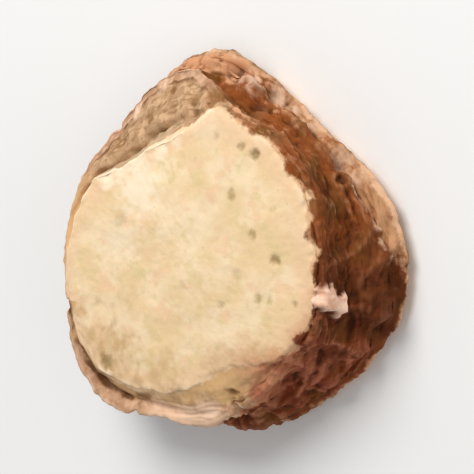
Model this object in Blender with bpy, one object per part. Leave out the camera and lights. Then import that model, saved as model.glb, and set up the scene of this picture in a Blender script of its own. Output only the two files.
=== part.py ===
"""White turmeric root: one dried piece, cut across the rhizome, lying on its larger cut face.

The piece grew as one, so it is one closed body. Its surface runs from the middle of the upper cut face,
over the edge of the flesh, down a step, a bevel or a crack to the crest of the skin, down the wrinkled
bark to a flared rim, and under the rim to the flat lower cut face.

Frame: metres, +Z up. The origin lies on the surface that the piece rests on, under the middle of its box.
"""

import math

import bmesh
import bpy
from mathutils import Vector, noise

MM = 0.001
NODE_NAME = "root_slice"

# Sizes from here on are in millimetres
FACE_HEIGHT = 8.0
FACE_CROWN = 0.45
EDGE_ROUNDING = 0.5
EDGE_DROP = 0.2
SKIN_THICKNESS = 0.35

# The landmarks below are read round the rhizome's axis, at angles in degrees from +X towards +Y.
# Edge of the flesh on the upper face: distance from the axis
FLESH_EDGE = (
    (-34, 13.8), (-20, 11.0), (18, 9.55), (40, 11.0), (70, 11.9), (106, 13.1), (124, 12.95), (141, 11.8),
    (165, 10.45), (190, 9.3), (216, 11.5), (236, 13.0), (262, 13.25), (285, 13.95), (302, 13.85), (314, 13.4),
)
# Foot of the step, bevel or crack outside the flesh: share of the way to the skin's crest, and height
FOOT = (
    (-34, 0.5, 7.6), (-20, 0.28, 6.8), (0, 0.17, 5.9), (40, 0.15, 5.9), (60, 0.3, 6.8), (90, 0.5, 7.7),
    (108, 0.45, 7.5), (120, 0.4, 7.2), (138, 0.38, 7.2), (160, 0.45, 7.35), (190, 0.45, 7.4), (215, 0.4, 7.6),
    (262, 0.4, 7.7),
)
# Shelf between that foot and the crest: share of the way, and height
SHELF = (
    (-34, 0.75, 7.5), (-20, 0.5, 6.6), (0, 0.38, 6.2), (40, 0.38, 6.3), (60, 0.6, 6.8), (90, 0.8, 7.6),
    (108, 0.7, 7.3), (120, 0.6, 6.9), (138, 0.58, 6.9), (160, 0.74, 6.9), (190, 0.76, 6.95), (215, 0.7, 7.3),
    (262, 0.75, 7.6),
)
# Crest of the skin: distance from the axis, and height. It drops to a broken ledge on the +X side.
CREST = (
    (-46, 14.1, 7.5), (-34, 14.3, 7.2), (-14, 15.2, 4.4), (2, 15.1, 3.3), (18, 14.2, 3.3), (32, 13.9, 3.6),
    (50, 14.4, 4.0), (66, 13.6, 6.0), (80, 13.1, 7.4), (96, 13.5, 7.8), (117, 15.3, 7.6), (134, 14.95, 7.5),
    (147, 13.8, 7.2), (165, 13.6, 6.8), (182, 12.7, 6.8), (200, 12.2, 6.9), (218, 12.0, 7.3),
    (236, 13.5, 7.6), (262, 13.8, 7.6), (285, 14.45, 7.6),
)
# Waist of the bark between crest and rim: how far it is drawn in
WAIST = (
    (-60, 0.5), (-20, 0.9), (30, 0.3), (80, 0.2), (110, 1.1), (140, 0.7), (180, 0.6), (225, 0.6), (270, 0.4),
)
# Flared rim at the lower face: distance from the axis, height of its tip, and width of the flange
RIM = (
    (-60, 14.7, 1.3, 1.4), (-44, 15.0, 1.5, 1.1), (-22, 16.7, 1.9, 1.0), (-8, 16.6, 1.7, 0.9),
    (5, 15.3, 1.5, 0.9), (25, 14.2, 1.2, 0.7), (60, 13.9, 1.0, 0.6), (90, 14.9, 1.4, 0.5),
    (120, 14.3, 0.9, 0.6), (150, 13.9, 1.3, 0.7), (178, 14.75, 0.9, 0.9), (204, 14.8, 0.9, 0.9),
    (228, 16.15, 0.9, 1.0), (248, 17.4, 1.0, 1.1), (268, 17.1, 1.1, 1.7), (285, 15.8, 1.2, 1.7),
)
# Ring round the bark that an old leaf sheath left, above the flange: how far it stands out
SHEATH_RING = (
    (-60, 0.5), (-20, 0.6), (30, 0.3), (75, 0.9), (105, 1.5), (135, 0.6), (180, 0.4), (225, 0.5), (270, 0.5),
)
# Waist, ring and groove have their full depth where the bark is at least this tall
FULL_BARK = 5.0
FLANGE_SAG = 0.25
# Lip of the rim, above and below its tip, and the hollow under it
RIM_LIP = 0.6
RIM_TOP = 0.55
RIM_UNDERCUT = 0.8
RIM_UNDERSIDE = 0.45
HOLLOW_HEIGHT = 0.28
# Flesh of the lower face ends this far inside the rim
LOWER_FLESH_INSET = 3.2

# Points of the upper face: share of the flesh's width, and share of the crown's height
FACE_STEPS = ((0.0, 1.0), (0.35, 0.85), (0.75, 0.4))
# Points of the bark from the crest to the flange's groove: share of the flare, of the waist, of the sheath's
# ring and of the sag, and share of the height
BARK_STEPS = (
    (0.1, 0.4, 0.0, 0.0, 0.78),
    (0.3, 1.0, 0.0, 0.0, 0.52),
    (0.75, 0.0, 1.0, 0.0, 0.26),
    (1.0, 0.0, 0.0, 1.0, 0.12),
)

# Small flake that stands out at the skin's crest
FLAKE_ANGLE = -114.0
FLAKE_HEIGHT = 6.7
FLAKE_REACH = 0.7
FLAKE_SIZE = 1.0

# Relief: size of its features and how far they stand out
RHIZOME_RADIUS = 14.0
WRINKLE_SPACING = 2.8
WRINKLE_DEPTH = 0.95
WRINKLE_START = 2.5
WRINKLE_LEVEL = 0.5
WRINKLE_STEEPNESS = 1.5
SMOOTHNESS_AT_CREST = 0.1
LUMP_SPACING = 7.0
LUMP_HEIGHT = 0.5
CHIP_SPACING = 1.7
CHIP_DEPTH = 0.4
FULL_BAND = 3.0
FACE_WAVE_SPACING = 5.0
FACE_WAVE_HEIGHT = 0.13
RAGGED_EDGE = 0.28
RAGGED_SPACING = 1.9
CREST_RAGGEDNESS = 0.5
WRINKLE_STRETCH = 0.3

SEGMENTS = 120
BARK_COLOUR = (0.42, 0.24, 0.12, 1.0)
BARK_ROUGHNESS = 0.85

# Places of two points in each section: the flesh's edge, and the inner side of the skin's crest
FLESH_POINT = 4
INSIDE_POINT = 7
# Stretches of the section between its named points: rings in each, and the relief that they carry
STRETCHES = (
    (3, "face"), (4, "face"), (3, "face"), (1, "face"),
    (2, "broken"), (2, "broken"), (2, "broken"), (1, "skin"),
    (3, "bark"), (3, "bark"), (3, "bark"), (2, "bark"), (2, "bark"), (1, "skin"),
    (1, "skin"), (1, "skin"), (1, "skin"), (2, "flat"),
)


def read(landmarks, degrees, column=1):
    """Value of a closed row of landmarks at an angle, on a smooth curve through them."""
    count = len(landmarks)
    turn = degrees
    while turn < landmarks[0][0]:
        turn += 360
    while turn >= landmarks[0][0] + 360:
        turn -= 360
    index = max(step for step in range(count) if landmarks[step][0] <= turn)
    angles = []
    values = []
    for step in (index - 1, index, index + 1, index + 2):
        mark = landmarks[step % count]
        angles.append(mark[0] + 360 * (step // count))
        values.append(mark[column])
    span = angles[2] - angles[1]
    share = (turn - angles[1]) / span
    slope_in = (values[2] - values[0]) / (angles[2] - angles[0]) * span
    slope_out = (values[3] - values[1]) / (angles[3] - angles[1]) * span
    squared = share * share
    cubed = squared * share
    return (
        values[1] * (2 * cubed - 3 * squared + 1)
        + slope_in * (cubed - 2 * squared + share)
        + values[2] * (3 * squared - 2 * cubed)
        + slope_out * (cubed - squared)
    )


def on_ring(degrees, spacing):
    """Place on a ring of the rhizome's size, where relief that depends on the angle alone is read."""
    angle = math.radians(degrees)
    return Vector((math.cos(angle), math.sin(angle), 0.0)) * (RHIZOME_RADIUS / spacing)


def section(degrees):
    """Named points of the section at an angle, as distance from the axis and height."""
    ragged = RAGGED_EDGE * noise.noise(on_ring(degrees, RAGGED_SPACING))
    flesh = read(FLESH_EDGE, degrees) + ragged
    face = [(share * flesh, FACE_HEIGHT + rise * FACE_CROWN) for share, rise in FACE_STEPS]

    crest = read(CREST, degrees) - CREST_RAGGEDNESS * ragged
    crest_height = read(CREST, degrees, 2)
    inside = crest - SKIN_THICKNESS
    foot = flesh + (inside - flesh) * read(FOOT, degrees)
    shelf = flesh + (inside - flesh) * read(SHELF, degrees)
    edge = [
        (flesh - EDGE_ROUNDING, FACE_HEIGHT),
        (flesh, FACE_HEIGHT - EDGE_DROP),
        (foot, read(FOOT, degrees, 2)),
        (shelf, read(SHELF, degrees, 2)),
        (inside, crest_height),
        (crest, crest_height - EDGE_DROP),
    ]

    rim = read(RIM, degrees) + ragged
    rim_tip = read(RIM, degrees, 2)
    rim_top = rim_tip + RIM_TOP
    flare = rim - read(RIM, degrees, 3) - crest
    drop = crest_height - rim_top
    fullness = min(1.0, drop / FULL_BARK)
    waist = read(WAIST, degrees) * fullness
    ring = read(SHEATH_RING, degrees) * fullness
    sag = FLANGE_SAG * fullness
    bark = [
        (crest + out * flare - drawn * waist + raised * ring, rim_top + up * drop - sunk * sag)
        for out, drawn, raised, sunk, up in BARK_STEPS
    ]

    under = rim - RIM_UNDERCUT
    lower_flesh = rim - LOWER_FLESH_INSET
    lower = [
        (rim - RIM_LIP, rim_top),
        (rim, rim_tip),
        (under, RIM_UNDERSIDE),
        (0.5 * (under + lower_flesh), HOLLOW_HEIGHT),
        (lower_flesh, 0.0),
        (0.0, 0.0),
    ]
    return face + edge + bark + lower


def along(points, index, share):
    """Point of a smooth curve through a section's points, and the direction that faces outwards there."""
    last = len(points) - 1
    before, here, after, beyond = (Vector(points[min(max(index + step, 0), last)]) for step in (-1, 0, 1, 2))
    slope = after - before
    bend = 2 * before - 5 * here + 4 * after - beyond
    twist = 3 * (here - after) + beyond - before
    point = here + 0.5 * share * (slope + share * (bend + share * twist))
    run = slope + share * (2 * bend + 3 * share * twist)
    run.normalize()
    return point, Vector((-run.y, run.x))


def relief(kind, place, degrees, points):
    """How far the surface stands out from the smooth section through these points, in millimetres."""
    if kind == "face":
        return FACE_WAVE_HEIGHT * noise.noise(place / FACE_WAVE_SPACING)
    if kind == "broken":
        band = points[INSIDE_POINT][0] - points[FLESH_POINT][0]
        return CHIP_DEPTH * min(1.0, band / FULL_BAND) * noise.noise(place / CHIP_SPACING)
    if kind == "bark":
        stretched = Vector((place.x, place.y, place.z * WRINKLE_STRETCH)) / WRINKLE_SPACING
        fold = WRINKLE_LEVEL - WRINKLE_STEEPNESS * abs(noise.noise(stretched))
        below_crest = points[INSIDE_POINT][1] - place.z
        fullness = min(1.0, SMOOTHNESS_AT_CREST + below_crest / WRINKLE_START)
        lump = noise.noise(place / LUMP_SPACING)
        return fullness * (WRINKLE_DEPTH * fold + LUMP_HEIGHT * lump) + flake(place, degrees)
    return 0.0


def flake(place, degrees):
    """Small flake at the crest, as a round bump that fades with distance."""
    turn = (degrees - FLAKE_ANGLE + 180) % 360 - 180
    across = math.radians(turn) * math.hypot(place.x, place.y)
    away = (across * across + (place.z - FLAKE_HEIGHT) ** 2) / (FLAKE_SIZE * FLAKE_SIZE)
    return FLAKE_REACH * math.exp(-away)


def slice_rings():
    """Rings of points from the upper middle to the lower middle, in millimetres about the rhizome's axis."""
    rings = []
    columns = [section(360.0 * step / SEGMENTS) for step in range(SEGMENTS)]
    for index, (count, kind) in enumerate(STRETCHES):
        for step in range(count):
            if index == 0 and step == 0:
                continue
            ring = []
            for column, points in enumerate(columns):
                degrees = 360.0 * column / SEGMENTS
                angle = math.radians(degrees)
                point, outward = along(points, index, step / count)
                place = Vector((point.x * math.cos(angle), point.x * math.sin(angle), point.y))
                height = relief(kind, place, degrees, points)
                radius = point.x + outward.x * height
                level = max(0.0, point.y + outward.y * height)
                if kind == "flat":
                    level = 0.0
                ring.append(Vector((radius * math.cos(angle), radius * math.sin(angle), level)))
            rings.append(ring)
    return rings


def slice_mesh():
    """Closed mesh of the whole piece, in metres, with the origin under the middle of its box."""
    rings = slice_rings()
    points = [point for ring in rings for point in ring]
    middle_x = 0.5 * (min(point.x for point in points) + max(point.x for point in points))
    middle_y = 0.5 * (min(point.y for point in points) + max(point.y for point in points))
    shift = Vector((middle_x, middle_y, 0.0))

    shape = bmesh.new()
    top = shape.verts.new((Vector((0.0, 0.0, FACE_HEIGHT + FACE_CROWN)) - shift) * MM)
    bottom = shape.verts.new((Vector((0.0, 0.0, 0.0)) - shift) * MM)
    loops = [[shape.verts.new((point - shift) * MM) for point in ring] for ring in rings]
    for column in range(SEGMENTS):
        following = (column + 1) % SEGMENTS
        shape.faces.new((top, loops[0][column], loops[0][following]))
        for upper, lower in zip(loops, loops[1:]):
            shape.faces.new((upper[column], lower[column], lower[following], upper[following]))
        shape.faces.new((bottom, loops[-1][following], loops[-1][column]))
    bmesh.ops.triangulate(shape, faces=shape.faces[:])

    mesh = bpy.data.meshes.new(NODE_NAME)
    shape.to_mesh(mesh)
    shape.free()
    mesh.shade_smooth()
    return mesh


def bark_material():
    """Dull tan-brown of dried rhizome."""
    material = bpy.data.materials.new("dried_rhizome")
    material.use_nodes = True
    shader = material.node_tree.nodes["Principled BSDF"]
    shader.inputs["Base Color"].default_value = BARK_COLOUR
    shader.inputs["Roughness"].default_value = BARK_ROUGHNESS
    shader.inputs["Metallic"].default_value = 0.0
    return material


def clear_scene():
    """Start from an empty scene."""
    for item in list(bpy.data.objects):
        bpy.data.objects.remove(item, do_unlink=True)


def main():
    """Build the piece."""
    clear_scene()
    mesh = slice_mesh()
    mesh.materials.append(bark_material())
    piece = bpy.data.objects.new(NODE_NAME, mesh)
    bpy.context.scene.collection.objects.link(piece)


main()
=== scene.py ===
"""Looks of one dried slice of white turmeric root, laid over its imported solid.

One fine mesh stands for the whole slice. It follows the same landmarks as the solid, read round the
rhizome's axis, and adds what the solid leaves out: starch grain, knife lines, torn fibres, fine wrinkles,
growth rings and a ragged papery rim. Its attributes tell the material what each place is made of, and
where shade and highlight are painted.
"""

from math import cos, hypot, radians, sin

import bpy
import numpy as np
from mathutils import Matrix, Vector
from mathutils.noise import fractal, noise


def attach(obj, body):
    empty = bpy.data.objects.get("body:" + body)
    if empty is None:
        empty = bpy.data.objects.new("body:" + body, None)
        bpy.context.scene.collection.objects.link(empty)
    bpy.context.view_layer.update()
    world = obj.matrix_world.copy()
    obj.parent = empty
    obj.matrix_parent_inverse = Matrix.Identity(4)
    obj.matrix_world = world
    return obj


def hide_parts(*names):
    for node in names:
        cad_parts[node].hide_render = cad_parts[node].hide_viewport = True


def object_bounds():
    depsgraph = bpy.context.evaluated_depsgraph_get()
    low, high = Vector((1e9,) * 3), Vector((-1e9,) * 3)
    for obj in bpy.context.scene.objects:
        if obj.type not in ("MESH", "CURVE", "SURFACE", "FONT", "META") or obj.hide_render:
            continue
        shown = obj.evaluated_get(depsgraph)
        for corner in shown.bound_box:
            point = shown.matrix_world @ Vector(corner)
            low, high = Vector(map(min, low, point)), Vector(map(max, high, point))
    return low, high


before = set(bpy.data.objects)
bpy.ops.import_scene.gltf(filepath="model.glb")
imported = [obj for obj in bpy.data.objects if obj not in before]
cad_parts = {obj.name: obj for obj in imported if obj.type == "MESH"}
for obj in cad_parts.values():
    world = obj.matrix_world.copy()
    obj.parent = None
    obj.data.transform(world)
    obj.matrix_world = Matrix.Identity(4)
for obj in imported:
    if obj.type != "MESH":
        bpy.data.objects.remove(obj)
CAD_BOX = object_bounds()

MM = 0.001
NODE = "root_slice"

# Sizes from here on are in millimetres
FACE_HEIGHT = 8
FACE_CROWN = 0.45
EDGE_ROUNDING = 0.5
EDGE_DROP = 0.2
SKIN_THICKNESS = 0.35

# Landmarks of the piece's form, read at angles in degrees from +X towards +Y.
# Edge of the flesh on the upper face: distance from the axis
FLESH_EDGE = (
    (-34, 13.8), (-20, 11), (18, 9.55), (40, 11), (70, 11.9), (106, 13.1), (124, 12.95), (141, 11.8),
    (165, 10.45), (190, 9.3), (216, 11.5), (236, 13), (262, 13.25), (285, 13.95), (302, 13.85), (314, 13.4),
)
# Between the flesh and the skin's crest lie the foot of a step, bevel or crack, and then a shelf. Share of
# the way to the crest and height of the foot, and the same two of the shelf
BAND = (
    (-34, 0.5, 7.6, 0.75, 7.5), (-20, 0.28, 6.8, 0.5, 6.6), (0, 0.17, 5.9, 0.38, 6.2),
    (40, 0.15, 5.9, 0.38, 6.3), (60, 0.3, 6.8, 0.6, 6.8), (90, 0.5, 7.7, 0.8, 7.6),
    (108, 0.45, 7.5, 0.7, 7.3), (120, 0.4, 7.2, 0.6, 6.9), (138, 0.38, 7.2, 0.58, 6.9),
    (160, 0.45, 7.35, 0.74, 6.9), (190, 0.45, 7.4, 0.76, 6.95), (215, 0.4, 7.6, 0.7, 7.3),
    (262, 0.4, 7.7, 0.75, 7.6),
)
# Crest of the skin: distance from the axis, and height. It drops to a broken ledge on the +X side.
CREST = (
    (-46, 14.1, 7.5), (-34, 14.3, 7.2), (-14, 15.2, 4.4), (2, 15.1, 3.3), (18, 14.2, 3.3), (32, 13.9, 3.6),
    (50, 14.4, 4), (66, 13.6, 6), (80, 13.1, 7.4), (96, 13.5, 7.8), (117, 15.3, 7.6), (134, 14.95, 7.5),
    (147, 13.8, 7.2), (165, 13.6, 6.8), (182, 12.7, 6.8), (200, 12.2, 6.9), (218, 12, 7.3),
    (236, 13.5, 7.6), (262, 13.8, 7.6), (285, 14.45, 7.6),
)
# Waist of the bark between crest and rim: how far it is drawn in
WAIST = (
    (-60, 0.5), (-20, 0.9), (30, 0.3), (80, 0.2), (110, 1.1), (140, 0.7), (180, 0.6), (225, 0.6), (270, 0.4),
)
# Flared rim at the lower face: distance from the axis, height of its tip, and width of the flange
RIM = (
    (-60, 14.7, 1.3, 1.4), (-44, 15, 1.5, 1.1), (-22, 16.7, 1.9, 1), (-8, 16.6, 1.7, 0.9),
    (5, 15.3, 1.5, 0.9), (25, 14.2, 1.2, 0.7), (60, 13.9, 1, 0.6), (90, 14.9, 1.4, 0.5),
    (120, 14.3, 0.9, 0.6), (150, 13.9, 1.3, 0.7), (178, 14.75, 0.9, 0.9), (204, 14.8, 0.9, 0.9),
    (228, 16.15, 0.9, 1), (248, 17.4, 1, 1.1), (268, 17.1, 1.1, 1.7), (285, 15.8, 1.2, 1.7),
)
# Ring round the bark that an old leaf sheath left, above the flange: how far it stands out
SHEATH_RING = (
    (-60, 0.5), (-20, 0.6), (30, 0.3), (75, 0.9), (105, 1.5), (135, 0.6), (180, 0.4), (225, 0.5), (270, 0.5),
)
# Waist, ring and groove have their full depth where the bark is at least this tall
FULL_BARK = 5
FLANGE_SAG = 0.25
# Lip of the rim, above and below its tip, and the hollow under it
RIM_LIP = 0.6
RIM_TOP = 0.55
RIM_UNDERCUT = 0.8
RIM_UNDERSIDE = 0.45
HOLLOW_HEIGHT = 0.28
# Flesh of the lower face ends this far inside the rim
LOWER_FLESH_INSET = 3.2
FACE_STEPS = ((0, 1), (0.35, 0.85), (0.75, 0.4))
BARK_STEPS = (
    (0.1, 0.4, 0, 0, 0.78),
    (0.3, 1, 0, 0, 0.52),
    (0.75, 0, 1, 0, 0.26),
    (1, 0, 0, 1, 0.12),
)

# Relief that the solid has too: size of its features and how far they stand out
RHIZOME_RADIUS = 14
WRINKLE_SIZE = 2.8
WRINKLE_DEPTH = 0.95
WRINKLE_START = 2.5
WRINKLE_LEVEL = 0.5
WRINKLE_STEEPNESS = 1.5
WRINKLE_STRETCH = 0.3
SMOOTHNESS_AT_CREST = 0.1
FULL_BAND = 3
RAGGED_EDGE = 0.28
RAGGED_SIZE = 1.9
CREST_RAGGEDNESS = 0.5

# Named points of a section, counted from the middle of the upper face to the middle of the lower one
AT_FLESH, AT_FOOT, AT_SHELF, AT_INSIDE, AT_CREST = range(4, 9)
AT_GROOVE = 12
AT_TIP = 14
AT_LOWER_FLESH = 17
LAST_POINT = 18

# Fine rings: section place where each stretch starts, rings in it, and columns round the axis
FINE_STRETCHES = (
    (0, 6, 32), (0.28, 6, 64), (0.5, 12, 128), (1, 22, 256), (1.9, 14, 512), (3, 5, 512),
    (4, 9, 512), (5, 8, 512), (6, 12, 512), (7, 3, 512), (8, 16, 512), (9, 16, 512),
    (10, 16, 512), (11, 12, 512), (12, 12, 512), (13, 4, 512), (14, 4, 512), (15, 4, 512),
    (16, 6, 512), (17, 10, 256), (17.4, 8, 128), (17.7, 6, 64), (17.9, 4, 32),
)


def read(landmarks, degrees, column=1):
    """Value of a closed row of landmarks at an angle, on a smooth curve through them."""
    count = len(landmarks)
    turn = (degrees - landmarks[0][0]) % 360 + landmarks[0][0]
    index = max(step for step in range(count) if landmarks[step][0] <= turn)
    steps = range(index - 1, index + 3)
    angles = [landmarks[step % count][0] + 360 * (step // count) for step in steps]
    values = [landmarks[step % count][column] for step in steps]
    span = angles[2] - angles[1]
    share = (turn - angles[1]) / span
    slope_in = (values[2] - values[0]) / (angles[2] - angles[0]) * span
    slope_out = (values[3] - values[1]) / (angles[3] - angles[1]) * span
    squared = share * share
    cubed = squared * share
    return (
        values[1] * (2 * cubed - 3 * squared + 1)
        + slope_in * (cubed - 2 * squared + share)
        + values[2] * (3 * squared - 2 * cubed)
        + slope_out * (cubed - squared)
    )


def on_ring(degrees, spacing):
    """Place on a ring of the rhizome's size, for relief that depends on the angle alone."""
    angle = radians(degrees)
    return Vector((cos(angle), sin(angle), 0)) * (RHIZOME_RADIUS / spacing)


def section(degrees):
    """Named points of the section at an angle, as distance from the axis and height."""
    ragged = RAGGED_EDGE * noise(on_ring(degrees, RAGGED_SIZE))
    flesh = read(FLESH_EDGE, degrees) + ragged
    face = [(share * flesh, FACE_HEIGHT + rise * FACE_CROWN) for share, rise in FACE_STEPS]

    crest = read(CREST, degrees) - CREST_RAGGEDNESS * ragged
    crest_height = read(CREST, degrees, 2)
    inside = crest - SKIN_THICKNESS
    foot = flesh + (inside - flesh) * read(BAND, degrees)
    shelf = flesh + (inside - flesh) * read(BAND, degrees, 3)
    edge = [
        (flesh - EDGE_ROUNDING, FACE_HEIGHT),
        (flesh, FACE_HEIGHT - EDGE_DROP),
        (foot, read(BAND, degrees, 2)),
        (shelf, read(BAND, degrees, 4)),
        (inside, crest_height),
        (crest, crest_height - EDGE_DROP),
    ]

    rim = read(RIM, degrees) + ragged
    rim_tip = read(RIM, degrees, 2)
    rim_top = rim_tip + RIM_TOP
    flare = rim - read(RIM, degrees, 3) - crest
    drop = crest_height - rim_top
    fullness = min(1, drop / FULL_BARK)
    waist = read(WAIST, degrees) * fullness
    ring = read(SHEATH_RING, degrees) * fullness
    sag = FLANGE_SAG * fullness
    bark = [
        (crest + out * flare - drawn * waist + raised * ring, rim_top + up * drop - sunk * sag)
        for out, drawn, raised, sunk, up in BARK_STEPS
    ]

    under = rim - RIM_UNDERCUT
    lower_flesh = rim - LOWER_FLESH_INSET
    lower = [
        (rim - RIM_LIP, rim_top),
        (rim, rim_tip),
        (under, RIM_UNDERSIDE),
        (0.5 * (under + lower_flesh), HOLLOW_HEIGHT),
        (lower_flesh, 0),
        (0, 0),
    ]
    return face + edge + bark + lower


def along(points, index, share):
    """Point on a smooth curve through a section's points, and the outward direction there."""
    last = len(points) - 1
    before, here, after, beyond = (Vector(points[min(max(index + step, 0), last)]) for step in (-1, 0, 1, 2))
    slope = after - before
    bend = 2 * before - 5 * here + 4 * after - beyond
    twist = 3 * (here - after) + beyond - before
    point = here + 0.5 * share * (slope + share * (bend + share * twist))
    run = slope + share * (2 * bend + 3 * share * twist)
    run.normalize()
    return point, Vector((-run.y, run.x))


def smooth(low, high, value):
    """0 below low, 1 above high, and a smooth rise between; low may be the larger one."""
    share = min(1, max(0, (value - low) / (high - low)))
    return share * share * (3 - 2 * share)


# Fine relief: size of its features and how far they stand out
GRAIN_SIZE = 0.45
GRAIN_HEIGHT = 0.035
KNIFE_SIZE = 0.7
KNIFE_LENGTH = 14
KNIFE_DEPTH = 0.035
KNIFE_ANGLE = radians(-25)
CRUMBLE_SIZE = 0.8
CRUMBLE_DEPTH = 0.22
CRUMBLE_WIDTH = 0.9
CRUMBLE_LEVEL = 0.05
FIBRE_SIZE = 0.55
FIBRE_LENGTH = 4
FIBRE_DEPTH = 0.3
FIBRE_LEVEL = 0.4
FIBRE_SLOPE = 0.6
FINE_WRINKLE_SIZE = 1.5
FINE_WRINKLE_DEPTH = 0.26
FINE_WRINKLE_STRETCH = 1.7
FINE_WRINKLE_LEVEL = 0.35
FINE_WRINKLE_STEEPNESS = 1.3
# Fields of folds on the bark: angles where each starts, is full, fades and ends, how far its folds lean
# from the run round the axis, their spacing, their length, and their depth
FOLD_FIELDS = (
    ((-166, -150, -120, -100), radians(15), 1.1, 4.5, 0.42),
    ((-205, -190, -166, -148), radians(80), 1.2, 4, 0.4),
)
FOLD_LEVEL = 0.45
FOLD_STEEPNESS = 1.5
LEATHER_SIZE = 0.7
LEATHER_DEPTH = 0.045
LEATHER_LEVEL = 0.15
GROWTH_RING_SIZE = 1.6
GROWTH_RING_DEPTH = 0.22
GROWTH_RING_LIP = 0.86
GROWTH_RING_PATCH = 3.1
SCURF_SIZE = 0.6
SCURF_DEPTH = 0.05
# Cracks in the band outside the flesh: angles where each starts, is open, closes and ends, the named point
# that it follows, its depth, and its half width
CRACKS = (
    ((110, 116, 129, 138), AT_SHELF, 0.26, 0.4),
    ((108, 111, 113, 117), AT_FOOT, 0.2, 0.2),
)
# How far a crack stays open where it is most broken up, and the spacing of those places
CRACK_LEAST = 0.35
CRACK_BREAK_SIZE = 1.2
# Notches in the crest: angle, how far each is drawn in, and half width in degrees
NOTCHES = ((183, 0.6, 2.6), (139, 0.45, 2), (93.5, 0.75, 3), (28, 0.35, 2.5), (58, 0.4, 3))
TORN_SIZE = 0.75
TORN_REACH = 0.2
TORN_RISE = 0.5
# Bites into the flesh's edge and lips that it sends out: angle, how far out, and half width in degrees
EDGE_LIPS = (
    (94, -1.7, 4.5), (31, 0.8, 9), (-56, 0.2, 6), (-68, -0.15, 4), (-80, 0.5, 5), (-91, -0.5, 5),
    (-97, 0.35, 3), (-103, -0.45, 5), (154, 0.45, 9), (-130, -0.3, 4), (-137, 0.35, 5),
)
# Spots on the upper side have a place in X and Y, a width and a strength. Dots of the vessels that show:
VESSELS = (
    (7.9, -9.1, 0.5, 0.8), (6.9, -10.2, 0.6, 1), (4.3, -7, 0.55, 0.75), (0.8, -8, 0.5, 0.65),
    (-1.6, -9.5, 0.6, 0.95), (-4.3, -6.8, 0.55, 0.8), (-4.6, -7.9, 0.4, 0.55), (-5.3, -10.2, 0.45, 0.65),
    (-4, -3.1, 0.5, 0.5), (-1.6, 0, 0.45, 0.3), (4.8, 4.7, 0.9, 0.3), (-1.2, 9.4, 0.5, 0.4),
    (-3.2, 8.4, 0.5, 0.35), (9.2, -7, 0.35, 0.4), (-1.9, -5.5, 0.6, 0.25), (2.4, -10.6, 0.3, 0.4),
    (-6.2, 10.35, 0.85, 0.85),
)
VESSEL_DEPTH = 0.12
# Patches of the flesh that are pinker
BLUSHES = (
    (4.5, 2.1, 2.2, 0.7), (-3.5, 10.4, 1.8, 1), (-8.2, -4.4, 2.6, 1), (0.3, -12.4, 2.4, 0.7),
    (9.6, -7.4, 2, 0.6),
)
# Patches of the flesh and the bevel that are browner
STAINS = (
    (-5.6, 9.4, 4.2, 0.9), (-3.7, 11.2, 1.7, 0.8), (-10.6, 4.6, 3.2, 0.9), (-8.2, 4.6, 3.2, 0.7),
    (-8.6, -1.2, 2.6, 0.6), (-8.8, -5.4, 2.4, 0.8), (-1.5, 6, 2.6, 0.3), (-6.4, 10.7, 0.9, 0.8),
    (-8.1, 7.7, 1.2, 0.8), (-1.4, 11.9, 1.1, 0.95),
)
# Patches of the flesh that are whiter, partly with starch and partly painted highlight near the flesh's
# straight edge, which faces the light
BLOOMS_AND_HIGHLIGHTS = (
    (7, 2, 3.6, 1), (3.2, 5.6, 3, 0.6), (10.2, -6, 2.2, 0.35), (2.5, -3, 2.5, 0.3),
    (8.5, 5.3, 1.4, 1), (8.8, 3.4, 1.4, 1), (9.2, 1.4, 1.4, 1), (9.4, -0.9, 1.2, 0.9), (9.8, -2.8, 1, 0.6),
)
# Places round the flesh where bark or ledge is rubbed down to a pinkish brown
RUBS = (
    (-10.3, -4.8, 2, 0.9), (-9.6, -2.4, 1.5, 0.15), (-8.7, -0.4, 1.4, 0.2), (-8.9, -6.8, 1.3, 0.7),
    (-11.4, -1.8, 1.4, 0.5), (9.8, -10, 1.6, 0.35), (7.6, -12, 1.2, 0.2), (12.6, -6.6, 1.4, 0.55),
    (13.8, -5.6, 1, 0.6),
)
# Dips in the ledge and the bevel, sunk in the relief and darkened with painted shade
DIPS = (
    (11, 4.9, 1, 0.8), (12.2, 1.3, 1, 0.8), (11, -0.3, 0.6, 0.4), (10.9, 2.7, 0.6, 0.4),
    (14, -1, 0.6, 0.8), (12.6, -4.4, 0.9, 0.7), (12.5, -6.9, 1.4, 0.8), (-11.1, -1, 0.7, 1),
    (-12, -1.2, 0.8, 1), (-12.9, -1.3, 0.6, 0.9), (-6.3, 11, 0.6, 0.6), (-7.9, 12.4, 1.4, 0.4),
    (-9.4, 11.2, 1.2, 0.3),
)
DIP_DEPTH = 0.3
# Waves, each with a spacing and a reach. Lumps of the bark, chips of the ledge and the face's waves, which
# the solid has too, and dimples of the cut faces
LUMP_WAVES = ((7, 0.5),)
CHIP_WAVES = ((1.7, 0.4),)
FACE_WAVES = ((5, 0.13),)
DIMPLE_WAVES = ((1.5, 0.07),)
LOWER_FACE_WAVES = ((1.5, 2),)
# Waves that make edges ragged and lines wander
SPOT_WAVES = ((0.7, 0.45), (0.3, 0.25))
FLAKE_WAVES = ((0.8, 0.4), (0.4, 0.3))
HIGHLIGHT_WAVES = ((0.5, 0.6), (0.25, 0.4))
RING_WAVES = ((4.2, 1.1), (1.3, 0.5))
FOLD_WAVES = ((2.4, 0.7),)
WRINKLE_WAVES = ((2.3, 0.7),)
FIBRE_WAVES = ((2, 1.2),)
CRACK_WAVES = ((1.1, 0.25),)
DUST_WAVES = ((1.4, 0.5),)
# These reach so many degrees
COVER_WAVES = ((1.6, 9),)
# Spots of the face, and the share of its width over which a spot of each kind is full
FACE_SPOTS = {"vessel": (VESSELS, 0.35), "blush": (BLUSHES, 0), "stain": (STAINS, 0), "bloom_and_highlight": (BLOOMS_AND_HIGHLIGHTS, 0.2)}
RUB_CORE = 0.1

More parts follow.
